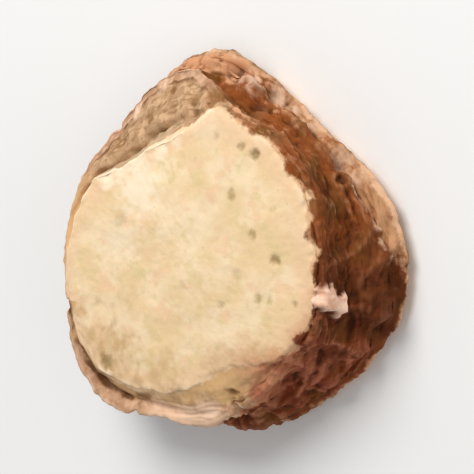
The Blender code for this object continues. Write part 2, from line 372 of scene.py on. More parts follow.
# Small pale flake that stands out at the skin's crest: angle and height of its two ends, its half width,
# the share by which its middle is narrower, and how far it stands out
FLAKE_ENDS = ((-113.6, 7), (-116.5, 5.6))
FLAKE_WIDTH = 1.05
FLAKE_NECK = 0.25
FLAKE_REACH = 0.5
# Share of the bark's fine relief that it hides
FLAKE_COVER = 0.7
# Crumpled relief of the flake: how much all of it has, how much more its ends have, and waves
FLAKE_CRUMPLE = 0.55
FLAKE_END_CRUMPLE = 0.5
CRUMPLE_WAVES = ((0.6, 0.7),)
# Scars where rootlets sat on the bark: angle, height and radius
ROOT_SCARS = (
    (62, 2.6, 0.7), (128, 3.6, 0.8), (171, 4.4, 0.6), (203, 2.7, 0.75), (-6, 2.4, 0.5), (-77.4, 3.45, 0.6),
)
SCAR_DEPTH = 0.35
SCAR_RIM = 0.22
# Spots of painted highlight on the crest, the flange and the rim: angle, height, radius and strength
HIGHLIGHT_SPOTS = (
    (168, 7, 0.7, 0.5), (146, 7.15, 0.8, 0.4), (160, 6.9, 0.9, 0.35), (172, 6.9, 0.8, 0.6),
    (-56, 1.9, 0.7, 0.5), (-30, 3.3, 0.8, 0.6), (-35.5, 3.4, 0.7, 0.45), (17, 3.5, 0.9, 0.9),
    (2, 3.4, 0.8, 0.7), (-31, 3, 1, 0.8), (-41, 2.3, 0.9, 0.7), (-48, 2.2, 0.7, 0.6),
    (-71, 1.8, 1, 0.5), (-78, 2.2, 0.8, 0.55), (-93, 2.6, 0.6, 0.5),
)
# Limits that edges lie between: of the flake's relief and colour, of painted highlight spots, of the pit and
# the rim of a scar, of cracks and the places that break them up, and of patches of growth rings
FLAKE_EDGE = (0.5, 1.15)
FLAKE_PALE = (0.1, 0.75)
HIGHLIGHT_EDGE = (0.1, 1.2)
PIT_EDGE = (0.45, 0.9)
SCAR_RISE = (0.6, 0.95)
CRACK_EDGE = (0.2, 1)
CRACK_BREAKS = (-0.3, 0.15)
RING_PATCHES = (-0.25, 0.35)
# Scars and painted highlight spots reach this many times their radius
SPOT_REACH = 1.6

# Rows from here on are read at angles. Share of the band outside the flesh that the bark covers
BARK_COVER = (
    (-172, 0), (-161, 0.5), (-149, 1), (-120, 1), (-60, 1), (-40, 1), (-34, 0.7), (-29, 0.2),
    (-25, 0), (40, 0), (90, 0.1), (130, 0), (168, 0),
)
# Share of the bark's relief that it has there
COVER_RELIEF = 0.8
# How far the bark reaches in over the crest there, and how much wider its border is where it half covers
COVER_REACH = 0.5
COVER_BLUR = 3
# Stands for a place well outside the flesh
FAR_OUTSIDE = -3
# How far the flesh's colour runs out over its edge
FLESH_SPREAD = (
    (-40, 0), (-28, 0.1), (-15, 0.45), (0, 0.3), (14, 0), (44, 0), (58, 0.4), (72, 0.8), (104, 0.85),
    (111, 0.5), (122, 0.3), (138, 0.25), (150, 0), (170, 0),
)
# How pale the band between flesh and crest is, and how much that takes from its relief
BAND_PALENESS = (
    (-26, 0), (36, 0), (46, 0.4), (58, 0.8), (84, 0.8), (98, 0.3), (116, 0.4), (140, 0.55), (152, 0.85),
    (176, 0.85), (190, 0.9), (204, 0),
)
BLEACHED_SMOOTHNESS = 0.5
# Angles where the skin at the crest is painted lighter, standing in for light on that shaded side: where it
# starts, is full, fades and ends
SKIN_PAINTED_LIGHT = (136, 152, 168, 180)
# Angles where the painted shadow on the step below the flesh's straight edge starts, is full, fades and ends
STEP_SHADOW_LIMITS = (-22, 4, 30, 48)
# Width of the skin that shows at the crest
SKIN_WIDTH = (
    (0, 0.75), (24, 0.85), (48, 0.5), (90, 0.35), (112, 0.8), (124, 1.1), (140, 1.35), (150, 1.8),
    (162, 2.3), (174, 1.9), (188, 0.6), (230, 0.4),
)
# How pale the flange of the rim is, and the share of that which its upper edge has
FLANGE_PALENESS = (
    (-122, 0), (-110, 0.2), (-98, 0.9), (-80, 1), (-74, 0.75), (-65, 0.45), (-59, 0.85), (-54, 0.9),
    (-45, 0.35), (-36, 0.3), (-26, 0.25), (0, 0.25), (40, 0.25), (80, 0.5), (120, 0.3), (160, 0.5),
    (200, 0.2), (222, 0),
)
UPPER_EDGE_SHARE = 0.8
# How pale the line at the rim's tip is
RIM_PALENESS = (
    (-124, 0), (-112, 0.1), (-104, 0.5), (-96, 1), (-80, 1), (-74, 0.6), (-65, 0.15), (-58, 0.9),
    (-52, 0.9), (-46, 0.45), (-32, 0.4), (-22, 0.6), (-8, 0.55), (40, 0.3), (80, 0.6), (120, 0.35),
    (160, 0.6), (200, 0.25), (222, 0),
)
# Amount of dust on the bark, which also scales the painted highlight on what stands out: above and below a
# section place, and that place
BARK_DUSTINESS = (
    (-178, 1.2, 0.2, 10.1), (-163, 1.6, 0.2, 10.1), (-148, 1.4, 0.7, 10.2), (-136, 1.1, 0.5, 10.8),
    (-126, 0.5, 0.3, 10), (-114, 0.1, 0.1, 10), (-104, 0.2, 0.1, 10.4), (-94, 0.3, 0.6, 10.8),
    (-76, 0.25, 0.8, 11.4), (-65, 0.3, 0.3, 11.7), (-56, 0.45, 2.2, 11.2), (-47, 0.9, 0.4, 11.4),
    (-39, 1, 0.6, 11.4), (-33, 0.2, 1, 10.9), (-26, 0.45, 2.2, 10.1), (-14, 0.9, 2.2, 9.9),
    (12, 0.8, 0.9, 10), (60, 0.5, 0.5, 10), (120, 0.5, 0.6, 10), (165, 0.9, 0.8, 10),
)
# How far the bark is darkened with painted shade
BARK_SHADE = (
    (-176, 0.25), (-160, 0), (-138, 0), (-128, 0.25), (-114, 1), (-102, 0.4), (-88, 0.1), (-64, 0),
    (-50, 0), (120, 0),
)
# How maroon the bark is
BARK_MAROONNESS = (
    (-150, 1), (-112, 0.7), (-85, 0.2), (-50, 0.1), (0, 0.2), (60, 0.6), (120, 0.3), (170, 0.6),
)


def waves(place, kinds):
    """Sum of some kinds of waves at a place."""
    return sum(reach * noise(place / spacing) for spacing, reach in kinds)


def rough(place, spacing, octaves=3):
    """Noise of a spacing with finer noise on it."""
    return fractal(place / spacing, 1, 2, octaves)


def blots(place, spots, core=0):
    """How strongly a place on the upper side lies in one of some spots with ragged edges."""
    ragged = waves(place, SPOT_WAVES)
    most = 0
    for x, y, width, strength in spots:
        away = hypot(place.x - x, place.y - y) / width + ragged
        most = max(most, strength * (1 - smooth(core, 1, away)))
    return most


def turn_between(angle, degrees):
    """Turn in degrees from one angle to another, the short way round."""
    return (degrees - angle + 180) % 360 - 180


def over_bark(place, degrees, angle, height):
    """Way over the bark to a place from another one, which is given by its angle and height."""
    run = radians(turn_between(angle, degrees)) * hypot(place.x, place.y)
    return Vector((run, place.z - height))


def flake(place, degrees):
    """How strongly a place lies on the small pale flake at the crest, and its crumpled relief."""
    first = over_bark(place, degrees, *FLAKE_ENDS[0])
    second = over_bark(place, degrees, *FLAKE_ENDS[1])
    if min(first.length, second.length) > 3 * FLAKE_WIDTH:
        return 0, 0
    line = first - second
    share = min(1, max(0, first.dot(line) / line.length_squared))
    from_middle = abs(2 * share - 1)
    width = FLAKE_WIDTH * (1 - FLAKE_NECK * (1 - from_middle))
    away = (first - share * line).length / width + waves(place, FLAKE_WAVES)
    inside = 1 - smooth(*FLAKE_EDGE, away)
    crumpled = FLAKE_CRUMPLE + FLAKE_END_CRUMPLE * from_middle + waves(place, CRUMPLE_WAVES)
    return smooth(*FLAKE_PALE, inside), FLAKE_REACH * inside * crumpled


def painted_highlights(place, degrees):
    """How strongly a place lies on one of the spots of painted highlight."""
    most = 0
    for angle, height, radius, strength in HIGHLIGHT_SPOTS:
        away = over_bark(place, degrees, angle, height).length / radius
        if away < SPOT_REACH:
            away += waves(place, HIGHLIGHT_WAVES)
            most = max(most, strength * (1 - smooth(*HIGHLIGHT_EDGE, away)))
    return most


def scars(place, degrees):
    """Relief of the root scars, each a pit in a low rim, and how strongly a place lies in one's pit."""
    height = 0
    pit = 0
    for angle, level, radius in ROOT_SCARS:
        away = over_bark(place, degrees, angle, level).length / radius
        if away < SPOT_REACH:
            inside = 1 - smooth(*PIT_EDGE, away)
            pit = max(pit, inside)
            height += SCAR_RIM * smooth(*SCAR_RISE, away) * (1 - smooth(1, SPOT_REACH, away))
            height -= SCAR_DEPTH * inside
    return height, pit


def face_relief(place, inside_edge):
    """Relief of a cut face, so far inside the flesh's edge."""
    turned = Vector((
        (place.x * cos(KNIFE_ANGLE) + place.y * sin(KNIFE_ANGLE)) / KNIFE_LENGTH,
        (place.y * cos(KNIFE_ANGLE) - place.x * sin(KNIFE_ANGLE)) / KNIFE_SIZE,
        place.z,
    ))
    edge = 1 - smooth(0, CRUMBLE_WIDTH, inside_edge)
    return (
        waves(place, DIMPLE_WAVES)
        + GRAIN_HEIGHT * rough(place, GRAIN_SIZE)
        + KNIFE_DEPTH * noise(turned)
        - CRUMBLE_DEPTH * edge * max(0, noise(place / CRUMBLE_SIZE) + CRUMBLE_LEVEL)
    )


def ledge_relief(place, degrees, weight):
    """Relief of the cortex between the flesh and the crest: torn fibres that run round the axis."""
    radius = hypot(place.x, place.y)
    run = radians(degrees) * RHIZOME_RADIUS
    crosswise = (radius - FIBRE_SLOPE * place.z) / FIBRE_SIZE + waves(place, FIBRE_WAVES)
    torn = Vector((run / FIBRE_LENGTH, crosswise, 0))
    return weight * (
        FIBRE_DEPTH * (FIBRE_LEVEL - abs(noise(torn)))
        + waves(place, CHIP_WAVES)
        + SCURF_DEPTH * rough(place, SCURF_SIZE, 2)
    )


def wrinkles(place, below_crest):
    """Wrinkles and lumps that the solid's bark has too."""
    stretched = Vector((place.x, place.y, place.z * WRINKLE_STRETCH)) / WRINKLE_SIZE
    fold = WRINKLE_LEVEL - WRINKLE_STEEPNESS * abs(noise(stretched))
    fullness = min(1, SMOOTHNESS_AT_CREST + below_crest / WRINKLE_START)
    return fullness * (WRINKLE_DEPTH * fold + waves(place, LUMP_WAVES))


def growth_rings(place, across):
    """Steps round the bark, each with a lip, that wander, fade in and fade out."""
    step = (across + waves(place, RING_WAVES)) / GROWTH_RING_SIZE % 1
    lip = step / GROWTH_RING_LIP if step < GROWTH_RING_LIP else (1 - step) / (1 - GROWTH_RING_LIP)
    patch = noise(place / GROWTH_RING_PATCH + Vector((7, 0, 0)))
    return smooth(*RING_PATCHES, patch) * (lip - 0.5)


def within(degrees, limits):
    """1 between the two inner limits of an angle, falling to 0 at the outer ones."""
    start, full, fading, end = limits
    turn = (degrees - start) % 360 + start
    return smooth(start, full, turn) * (1 - smooth(fading, end, turn))


def fold_fields(place, degrees, across):
    """Folds that run over the bark in one direction, on some sides of it."""
    height = 0
    run = radians(degrees % 360) * RHIZOME_RADIUS
    for limits, lean, spacing, length, depth in FOLD_FIELDS:
        share = within(degrees, limits)
        if share > 0:
            swirl = waves(place, FOLD_WAVES)
            lengthwise = (run * cos(lean) - across * sin(lean)) / length
            crosswise = (across * cos(lean) + run * sin(lean) + swirl) / spacing
            fold = FOLD_LEVEL - FOLD_STEEPNESS * abs(noise(Vector((lengthwise, crosswise, 0))))
            height += share * depth * fold
    return height


def fine_bark(place, degrees, across):
    """Fine folds over the bark, leathery creases between them, rings round it, and scurf."""
    swirl = waves(place, WRINKLE_WAVES)
    drawn = Vector((place.x + swirl, place.y - swirl, place.z * FINE_WRINKLE_STRETCH + swirl))
    fold = FINE_WRINKLE_LEVEL - FINE_WRINKLE_STEEPNESS * abs(noise(drawn / FINE_WRINKLE_SIZE))
    leather = min(2, abs(noise(drawn / LEATHER_SIZE)) / LEATHER_LEVEL) - 1
    return (
        FINE_WRINKLE_DEPTH * fold
        + fold_fields(place, degrees, across)
        + LEATHER_DEPTH * leather
        + GROWTH_RING_DEPTH * growth_rings(place, across)
        + SCURF_DEPTH * rough(place, SCURF_SIZE, 2)
    )


def crack(place, point, points, degrees):
    """How far a crack in the band lowers a point, and how deep in a crack it lies, from 0 to 1."""
    drop = 0
    most = 0
    for limits, mark, depth, width in CRACKS:
        share = within(degrees, limits)
        if share > 0:
            away = abs(distance(point, points[mark]) + waves(place, CRACK_WAVES)) / width
            whole = smooth(*CRACK_BREAKS, noise(place / CRACK_BREAK_SIZE))
            broken = CRACK_LEAST + (1 - CRACK_LEAST) * whole
            inside = share * broken * (1 - smooth(*CRACK_EDGE, away))
            drop = max(drop, depth * inside)
            most = max(most, inside)
    return drop, most


def notch(degrees):
    """How far the crest is drawn in by its notches."""
    depth = 0
    for angle, reach, width in NOTCHES:
        depth += reach * (1 - smooth(0, width, abs(turn_between(angle, degrees))))
    return depth


def edge_lip(degrees):
    """How far the flesh's colour reaches past its edge; less than 0 ends short of it."""
    reach = max(0, read(FLESH_SPREAD, degrees))
    for angle, out, width in EDGE_LIPS:
        reach += out * (1 - smooth(0, width, abs(turn_between(angle, degrees))))
    return reach


def build_rings():
    """Rings of the fine surface, each a list of vertices with their place and attributes."""
    count = max(stretch[2] for stretch in FINE_STRETCHES)
    columns = []
    for degrees in (360 * step / count for step in range(count)):
        columns.append((section(degrees), degrees, rough(on_ring(degrees, TORN_SIZE), 1)))
    ends = [stretch[0] for stretch in FINE_STRETCHES[1:]] + [LAST_POINT]
    rings = []
    for (start, steps, width), end in zip(FINE_STRETCHES, ends):
        for step in range(steps):
            where = start + (end - start) * step / steps
            if where > 0:
                rings.append([fine_vertex(*column, where) for column in columns[:: count // width]])
    return rings


def distance(point, mark):
    """Distance in the section between a point and one of its named points."""
    return hypot(point.x - mark[0], point.y - mark[1])


def zones(points, point, where, cover):
    """How far a point lies inside the flesh and inside the bark; less than 0 is outside."""
    to_crest = distance(point, points[AT_CREST])
    to_tip = distance(point, points[AT_TIP])
    past_flesh = point.x - points[AT_FLESH][0]
    if where <= AT_FLESH:
        return -past_flesh, cover * past_flesh - (1 - cover) * to_crest
    if where <= AT_CREST:
        return -distance(point, points[AT_FLESH]), cover * past_flesh - (1 - cover) * to_crest
    if where <= AT_TIP:
        return FAR_OUTSIDE, min(to_crest + COVER_REACH * cover, to_tip)
    return points[AT_LOWER_FLESH][0] - point.x, -to_tip


def hump(where, middle, reach):
    """1 at a section place, falling to 0 on both sides of it."""
    return 1 - smooth(0, reach, abs(where - middle))


def dust(place, degrees, where):
    """Amount of dust on the bark at a place, which also scales the painted highlight on what stands out."""
    above = read(BARK_DUSTINESS, degrees)
    below = read(BARK_DUSTINESS, degrees, 2)
    border = read(BARK_DUSTINESS, degrees, 3) + waves(place, DUST_WAVES)
    return max(0, above + (below - above) * smooth(border, border + 1, where))


def flange_marks(degrees, where):
    """How strongly a section place shows the flange's tan, and the pale line of one of its two edges."""
    flange = max(0, read(FLANGE_PALENESS, degrees))
    rim = max(0, read(RIM_PALENESS, degrees))
    tan = flange * smooth(AT_GROOVE - 0.9, AT_GROOVE + 0.6, where) if where < AT_TIP + 1 else 0
    upper_line = UPPER_EDGE_SHARE * flange * hump(where, AT_GROOVE - 0.45, 0.75)
    return tan, max(rim * hump(where, AT_TIP - 0.3, 0.9), upper_line)


def first_marks(points, point, place, degrees, where, cover):
    """Attributes of a vertex, as far as they don't depend on its fine relief."""
    in_flesh, in_bark = zones(points, point, where, cover)
    lip = edge_lip(degrees)
    past_crest = distance(point, points[AT_CREST]) * (1 if where > AT_CREST else -1)
    flange, rimline = flange_marks(degrees, where)
    marks = dict.fromkeys((*FACE_SPOTS, "flake", "pit", "dip", "rub"), 0)
    marks.update({
        "flesh": in_flesh + lip,
        "bark": (in_bark - lip) / (1 + COVER_BLUR * (1 - abs(2 * cover - 1))),
        "bleached": max(0, read(BAND_PALENESS, degrees)),
        "open": 1 - cover,
        # Painted light on part of the crest's skin, which lies in shade
        "painted_light": within(degrees, SKIN_PAINTED_LIGHT),
        "skin": past_crest / read(SKIN_WIDTH, degrees),
        "across": point.x - point.y,
        # Where the painted shadow under the flesh's straight edge lies
        "step": within(degrees, STEP_SHADOW_LIMITS) * hump(where, AT_FLESH + 0.9, 1.4),
        # Spots of painted highlight
        "painted_highlights": painted_highlights(place, degrees) if where > AT_FLESH else 0,
        "flange": flange,
        "rimline": rimline,
        "dust": dust(place, degrees, where),
        "maroon": read(BARK_MAROONNESS, degrees),
        "shade": max(0, read(BARK_SHADE, degrees)),
    })
    return marks


def relief_shares(where, cover):
    """Shares of the face's, the band's and the bark's relief that a section place has."""
    face = 1 - smooth(AT_FLESH - 0.6, AT_FLESH + 0.6, where)
    band = smooth(AT_FLESH + 0.2, AT_FOOT, where)
    band *= 1 - smooth(AT_INSIDE - 0.5, AT_INSIDE, where)
    bark = smooth(AT_CREST - 0.3, AT_CREST + 0.7, where)
    bark *= 1 - smooth(AT_GROOVE + 0.6, AT_GROOVE + 1.8, where)
    if where < AT_CREST + 1:
        covered = cover * smooth(AT_FLESH + 0.3, AT_FOOT + 0.6, where)
        bark = max(bark, COVER_RELIEF * covered)
    return face, band, bark


def relief(points, point, place, degrees, where, cover, marks):
    """How far the fine relief moves a vertex outwards. The spots it comes from are added to the marks."""
    on_face, on_band, on_bark = relief_shares(where, cover)
    height = 0
    chip = 0
    if AT_FLESH - 0.3 < where < AT_TIP:
        chip, crumpled = flake(place, degrees)
        height += crumpled * smooth(AT_FLESH - 0.3, AT_FLESH + 0.2, where)
        marks["flake"] = chip * smooth(AT_FLESH - 0.2, AT_FLESH + 0.2, where)
    if where < AT_FLESH + 1:
        for name, (spots, core) in FACE_SPOTS.items():
            marks[name] = blots(place, spots, core)
        height += on_face * waves(place, FACE_WAVES)
        height += on_face * face_relief(place, points[AT_FLESH][0] - point.x)
        height -= on_face * VESSEL_DEPTH * marks["vessel"]
    if where < AT_CREST + 1:
        marks["rub"] = blots(place, RUBS, RUB_CORE)
    if AT_FLESH + 0.2 < where < AT_CREST + 1:
        marks["dip"] = blots(place, DIPS, RUB_CORE)
    if on_band > 0:
        marks["stain"] = blots(place, STAINS)
        drop, marks["pit"] = crack(place, point, points, degrees)
        width = points[AT_INSIDE][0] - points[AT_FLESH][0]
        torn_share = on_band * min(1, width / FULL_BAND) * (1 - BLEACHED_SMOOTHNESS * marks["bleached"])
        height += ledge_relief(place, degrees, torn_share) - DIP_DEPTH * marks["dip"] - drop
    if on_bark > 0:
        scar, pit = scars(place, degrees)
        marks["pit"] = max(marks["pit"], pit)
        below_crest = points[AT_INSIDE][1] - place.z if where > AT_INSIDE else 0
        fine = (fine_bark(place, degrees, marks["across"]) + scar) * (1 - FLAKE_COVER * chip)
        height += on_bark * (wrinkles(place, below_crest) + fine)
    return height


def fine_vertex(points, degrees, torn, where):
    """One vertex: its place in millimetres, and its attributes for the material."""
    angle = radians(degrees)
    index = min(int(where), LAST_POINT - 1)
    point, outward = along(points, index, where - index)
    place = Vector((point.x * cos(angle), point.x * sin(angle), point.y))
    cover = min(1, max(0, read(BARK_COVER, degrees + waves(place, COVER_WAVES))))
    marks = first_marks(points, point, place, degrees, where, cover)
    height = relief(points, point, place, degrees, where, cover, marks)

    at_crest = 1 - min(1, abs(where - AT_INSIDE - 0.5))
    at_tip = 1 - min(1, abs(where - AT_TIP))
    ragged = TORN_REACH * torn * max(at_crest, at_tip)
    drawn_in = notch(degrees)
    radius = point.x + outward.x * height + ragged - drawn_in * hump(where, AT_CREST - 0.3, 2.2)
    # The crest's notches get the dips' painted shade too
    in_notch = min(1, 2 * drawn_in) * hump(where, AT_INSIDE - 0.2, 1.6)
    marks["dip"] = max(marks["dip"], in_notch)
    level = point.y + outward.y * height
    if where < AT_CREST + 1:
        level += TORN_RISE * ragged
    if where >= AT_LOWER_FLESH:
        level = GRAIN_HEIGHT * max(0, rough(place, GRAIN_SIZE) + waves(place, LOWER_FACE_WAVES))
    return Vector((radius * cos(angle), radius * sin(angle), max(0, level))), marks


def ring_faces(upper, lower):
    """Faces between two rings of vertex numbers, one of which may have twice as many."""
    if len(upper) == len(lower):
        return zip(upper, lower, lower[1:] + lower[:1], upper[1:] + upper[:1])
    faces = []
    fine, coarse, flipped = (lower, upper, False) if len(lower) > len(upper) else (upper, lower, True)
    for column, number in enumerate(coarse):
        beside = coarse[(column + 1) % len(coarse)]
        first, middle, last = (fine[(2 * column + step) % len(fine)] for step in range(3))
        for face in ((number, first, middle), (number, middle, beside), (beside, middle, last)):
            faces.append(face[::-1] if flipped else face)
    return faces


def fitted(points):
    """Points moved under the middle of the solid's box, and drawn in where they would pass it."""
    low, high = (np.array(corner) / MM for corner in CAD_BOX)
    own_low = points.min(0)
    own_high = points.max(0)
    ratio = np.minimum(1, (high - low) / (own_high - own_low))
    middle = 0.5 * (own_low + own_high)
    middle[2] = 0
    goal = 0.5 * (low + high)
    goal[2] = 0
    return (points - middle) * ratio + goal, middle


def slice_object():
    """The fine mesh of the slice, with the attributes that its material reads."""
    rings = build_rings()
    names = list(rings[0][0][1])
    places = []
    values = []
    loops = []
    for ring in rings:
        loops.append(list(range(len(places), len(places) + len(ring))))
        places.extend(tuple(vertex[0]) for vertex in ring)
        values.extend([vertex[1][name] for name in names] for vertex in ring)
    top = len(places)
    places.append((0, 0, FACE_HEIGHT + FACE_CROWN))
    values.append(values[0])
    bottom = len(places)
    places.append((0, 0, 0))
    values.append(values[loops[-1][0]])

    first = loops[0]
    last = loops[-1]
    faces = [(top, *pair) for pair in zip(first, first[1:] + first[:1])]
    for upper, lower in zip(loops, loops[1:]):
        faces.extend(ring_faces(upper, lower))
    faces.extend((bottom, *pair) for pair in zip(last[1:] + last[:1], last))

    points, middle = fitted(np.array(places))
    mesh = bpy.data.meshes.new("dried_slice")
    mesh.from_pydata([tuple(point) for point in points * MM], [], faces)
    mesh.shade_smooth()
    columns = np.array(values, dtype=np.float32)
    for number, name in enumerate(names):
        add_attribute(mesh, name, columns[:, number])
    add_hollows(mesh)
    mesh.update()
    return add_object("dried_slice", mesh), middle


def add_attribute(mesh, name, values):
    """Keep one value for each vertex, for the material."""
    attribute = mesh.attributes.new(name, "FLOAT", "POINT")
    attribute.data.foreach_set("value", np.ascontiguousarray(values, dtype=np.float32))


# Attributes that tell creases and wider hollows, by the rounds of smoothing that the surface is held against
# The material paints shade into these creases and hollows, and highlight where the surface stands out
HOLLOW_ROUNDS = {6: "crease", 24: "hollow"}


def add_hollows(mesh):
    """Keep how far each vertex lies below its smoothed surroundings; less than 0 stands out."""
    points = np.array([vertex.co for vertex in mesh.vertices]) / MM
    normals = np.array([vertex.normal for vertex in mesh.vertices])
    ends = np.array([tuple(edge.vertices) for edge in mesh.edges])
    here = np.concatenate((ends[:, 0], ends[:, 1]))
    there = np.concatenate((ends[:, 1], ends[:, 0]))
    joined = np.bincount(here)[:, None]
    smoothed = points
    for rounds in range(1, max(HOLLOW_ROUNDS) + 1):
        sums = [np.bincount(here, weights=smoothed[there, axis]) for axis in range(3)]
        smoothed = 0.5 * smoothed + 0.5 * np.stack(sums, axis=1) / joined
        if rounds in HOLLOW_ROUNDS:
            add_attribute(mesh, HOLLOW_ROUNDS[rounds], ((smoothed - points) * normals).sum(1))


# Colours, as red, green and blue from 0 to 255
CREAM = (238, 208, 162)
CREAM_PALE = (247, 222, 184)
# Painted highlight on the face where it stands out
CREAM_HIGHLIGHT = (254, 232, 200)
# Whiter starch, and painted highlight along the flesh's straight edge
CREAM_BLOOM_AND_HIGHLIGHT = (254, 237, 208)
CREAM_PINK = (242, 204, 164)
CREAM_OLIVE = (226, 203, 150)
CREAM_TAN = (206, 168, 120)
VESSEL_BROWN = (138, 114, 66)
CORTEX_TAN = (180, 142, 105)
CORTEX_PALE = (208, 170, 132)
CORTEX_BROWN = (136, 98, 64)
# Painted shade in the band's hollows
CORTEX_HOLLOW_SHADE = (98, 76, 44)
CORTEX_GOLD = (222, 179, 127)
BARK_RED = (142, 76, 30)
BARK_BROWN = (114, 72, 26)
BARK_MAROON = (126, 54, 30)
# Pale dust, and painted highlight on what stands out
BARK_DUST_AND_HIGHLIGHT = (222, 166, 124)
BARK_MAUVE = (182, 110, 80)
BARK_DARK = (88, 42, 14)
# Painted shade in the bark's hollows and creases
BARK_FOLD_SHADE = (60, 28, 10)
# Painted shade in dips and notches
DIP_PAINTED_SHADE = (134, 94, 50)
RUB_BROWN = (206, 148, 108)
SKIN_PALE = (214, 172, 140)
SKIN_TAN = (176, 132, 98)
# Painted highlight and painted light on the skin
SKIN_HIGHLIGHT = (252, 216, 186)
EDGE_PINK = (228, 184, 142)
SKIN_BROWN = (112, 72, 40)
RIM_TAN = (192, 144, 104)
RIM_BROWN = (160, 110, 72)
RIM_LINE = (230, 186, 150)
FLAKE_WHITE = (255, 218, 192)
FLAKE_PINK = (242, 190, 158)
# Painted shadow under the flesh's straight edge
STEP_PAINTED_SHADOW = (214, 190, 156)
# Painted shade in cracks and root scar pits
PIT_PAINTED_SHADE = (84, 48, 22)

# Named shares rise smoothly with noise or with an attribute of the mesh. Each has what it reads, the two
# values that it rises between, and the shares there where they aren't 0 and 1.
# Patches of noise are read by size, detail and roughness
PATCHES = {
    "pale flesh": ((3.6, 3), 0.38, 0.62),
    "olive flesh": ((1.4, 4, 0.6), 0.5, 0.68, 0, 0.75),
    "pink flesh": ((1.9, 3), 0.54, 0.68, 0, 0.85),
    "stain patches": ((1.2, 4), 0.3, 0.6, 0.35, 1),
    "flecks": ((0.4, 3, 0.7), 0.6, 0.75, 0, 0.35),
    "vessel patches": ((0.5, 3), 0.3, 0.6, 0.5, 1),
    "pale cortex": ((1, 4), 0.42, 0.6),
    "brown cortex": ((0.55, 4, 0.65), 0.55, 0.7, 0, 0.65),
    "bleached patches": ((1.3, 4), 0.25, 0.6, 0.75, 1.1),
    "brown bark": ((2.8, 4, 0.6), 0.4, 0.62),
    "maroon patches": ((1.9, 4), 0.35, 0.6, 0.3, 1),
    "shade patches": ((1.5, 4), 0.3, 0.62, 0.45, 1),
    "dust patches": ((1.7, 4), 0.3, 0.55, 0.1, 0.85),
    "flange patches": ((0.8, 4, 0.6), 0.3, 0.7, -0.35, 0.3),
    "rim line patches": ((0.9, 4, 0.6), 0.3, 0.7, -0.4, 0.25),
    "small waver": ((0.5, 3), 0.2, 0.8, -0.13, 0.13),
    "wide waver": ((1.7, 3), 0.3, 0.7, -0.22, 0.22),
    "rubbed patches": ((0.9, 4), 0.3, 0.6, 0.4, 1),
    "skin line patches": ((1.5, 3), 0.36, 0.55, 0, 0.85),
    "rub patches": ((1.1, 4), 0.3, 0.6, 0.5, 1),
    "skin patches": ((1.1, 4), 0.3, 0.5, 0.55, 1),
    "tan skin": ((1, 4), 0.42, 0.62, 0, 0.8),
    "skin highlight patches": ((1.6, 3), 0.4, 0.6),
    "step shadow patches": ((0.9, 4), 0.3, 0.6, 0.35, 0.8),
    "dip shade patches": ((0.7, 3), 0.3, 0.55, 0.4, 0.9),
    "pink flake": ((0.8, 4), 0.42, 0.62),
    "roughness": ((0.7, 3), 0.3, 0.7, 0.7, 0.95),
}
# Streaks are noise drawn out round the axis by a stretch
STREAKS = {
    "cortex streaks": ((0.35, 3), 0.52, 0.68, 0, 0.6),
    "bark streaks": ((0.6, 4, 0.6), 0.46, 0.68, 0, 0.75),
    "dust streaks": ((0.8, 5, 0.65), 0.36, 0.6),
    "rim streaks": ((0.6, 4, 0.6), 0.45, 0.62),
}
STREAK_STRETCH = 0.25
RISES = {
    # Rises of hollow and crease put painted shade in creases and hollows, and painted highlight where the
    # surface stands out
    "flesh near its edge": ("flesh", 2.4, 1.1, 0, 0.75),
    "proud flesh highlight": ("hollow", -0.02, -0.1, 0, 0.9),
    "open flesh": ("open", 0, 0.6, 0.35, 1),
    "shaded flesh creases": ("crease", 0.02, 0.09, 0, 0.5),
    "shaded cortex creases": ("crease", 0.01, 0.07, 0, 0.6),
    "shaded cortex hollows": ("hollow", 0.06, 0.32, 0, 0.7),
    "proud bark": ("hollow", 0.02, -0.15, 0, 0.6),
    "proud folds": ("crease", 0, -0.07, 0, 0.5),
    "thick dust": ("dust", 0.9, 1.6),
    "shaded bark hollows": ("hollow", 0, 0.24, 0, 0.7),
    "shaded bark creases": ("crease", 0.01, 0.14, 0, 0.5),
    "maroon side": ("maroon", 0.5, 0.95),
    "unbleached": ("bleached", 0.4, 1, 1, 0.3),
    "unrubbed": ("rub", 0, 0.7, 1, 0.15),
    "proud skin highlight": ("hollow", -0.05, -0.22),
    "open skin": ("open", 0.75, 0.98),
}
# Borders between colours, in millimetres or shares, in the same form
FLESH_BORDER = (-0.15, 0.12)
BARK_BORDER = (-0.2, 0.2)
COVER_BORDER = (0.5, 0.95)
RUBBED_BORDER = (-1.5, 0.1, 0, 0.85)
RUB_BORDER = (-2, -0.2, 0.3, 0.9)
FLANGE_BORDER = (0.25, 0.8)
RIM_LINE_BORDER = (0.3, 0.95, 0, 0.85)
# Borders of the skin and of the line inside it, in widths of the skin from the crest
SKIN_INNER = (-1.1, -0.75)
SKIN_OUTER = (0.9, 0.4)
SKIN_LINE = (-1.8, -1.25)
# Largest shares of some colours, and the share of a border's waver where no bark covers the band
BLOOM_AND_HIGHLIGHT_SHARE = 0.78
VESSEL_SHARE = 0.85
CORTEX_STAIN = 0.6
BLEACHED_SHARE = 0.95
DUST_SHARE = 0.9
FOLD_SHADE_SHARE = 0.75
PAINTED_LIGHT_SHARE = 0.45
HIGHLIGHT_SHARE = 0.85
PIT_SHARE = 0.75
OPEN_WAVER = 0.35
SPECULAR = 0.16
BUMP_GRAIN = (0.22, 5, 0.7)
BUMP_STRENGTH = 0.6
BUMP_HEIGHT = 0.06


def linear(colour):
    """A colour from 0 to 255 as the linear values that shaders take."""
    shares = [part / 255 for part in colour]
    return tuple(s / 12.92 if s <= 0.04045 else ((s + 0.055) / 1.055) ** 2.4 for s in shares) + (1,)


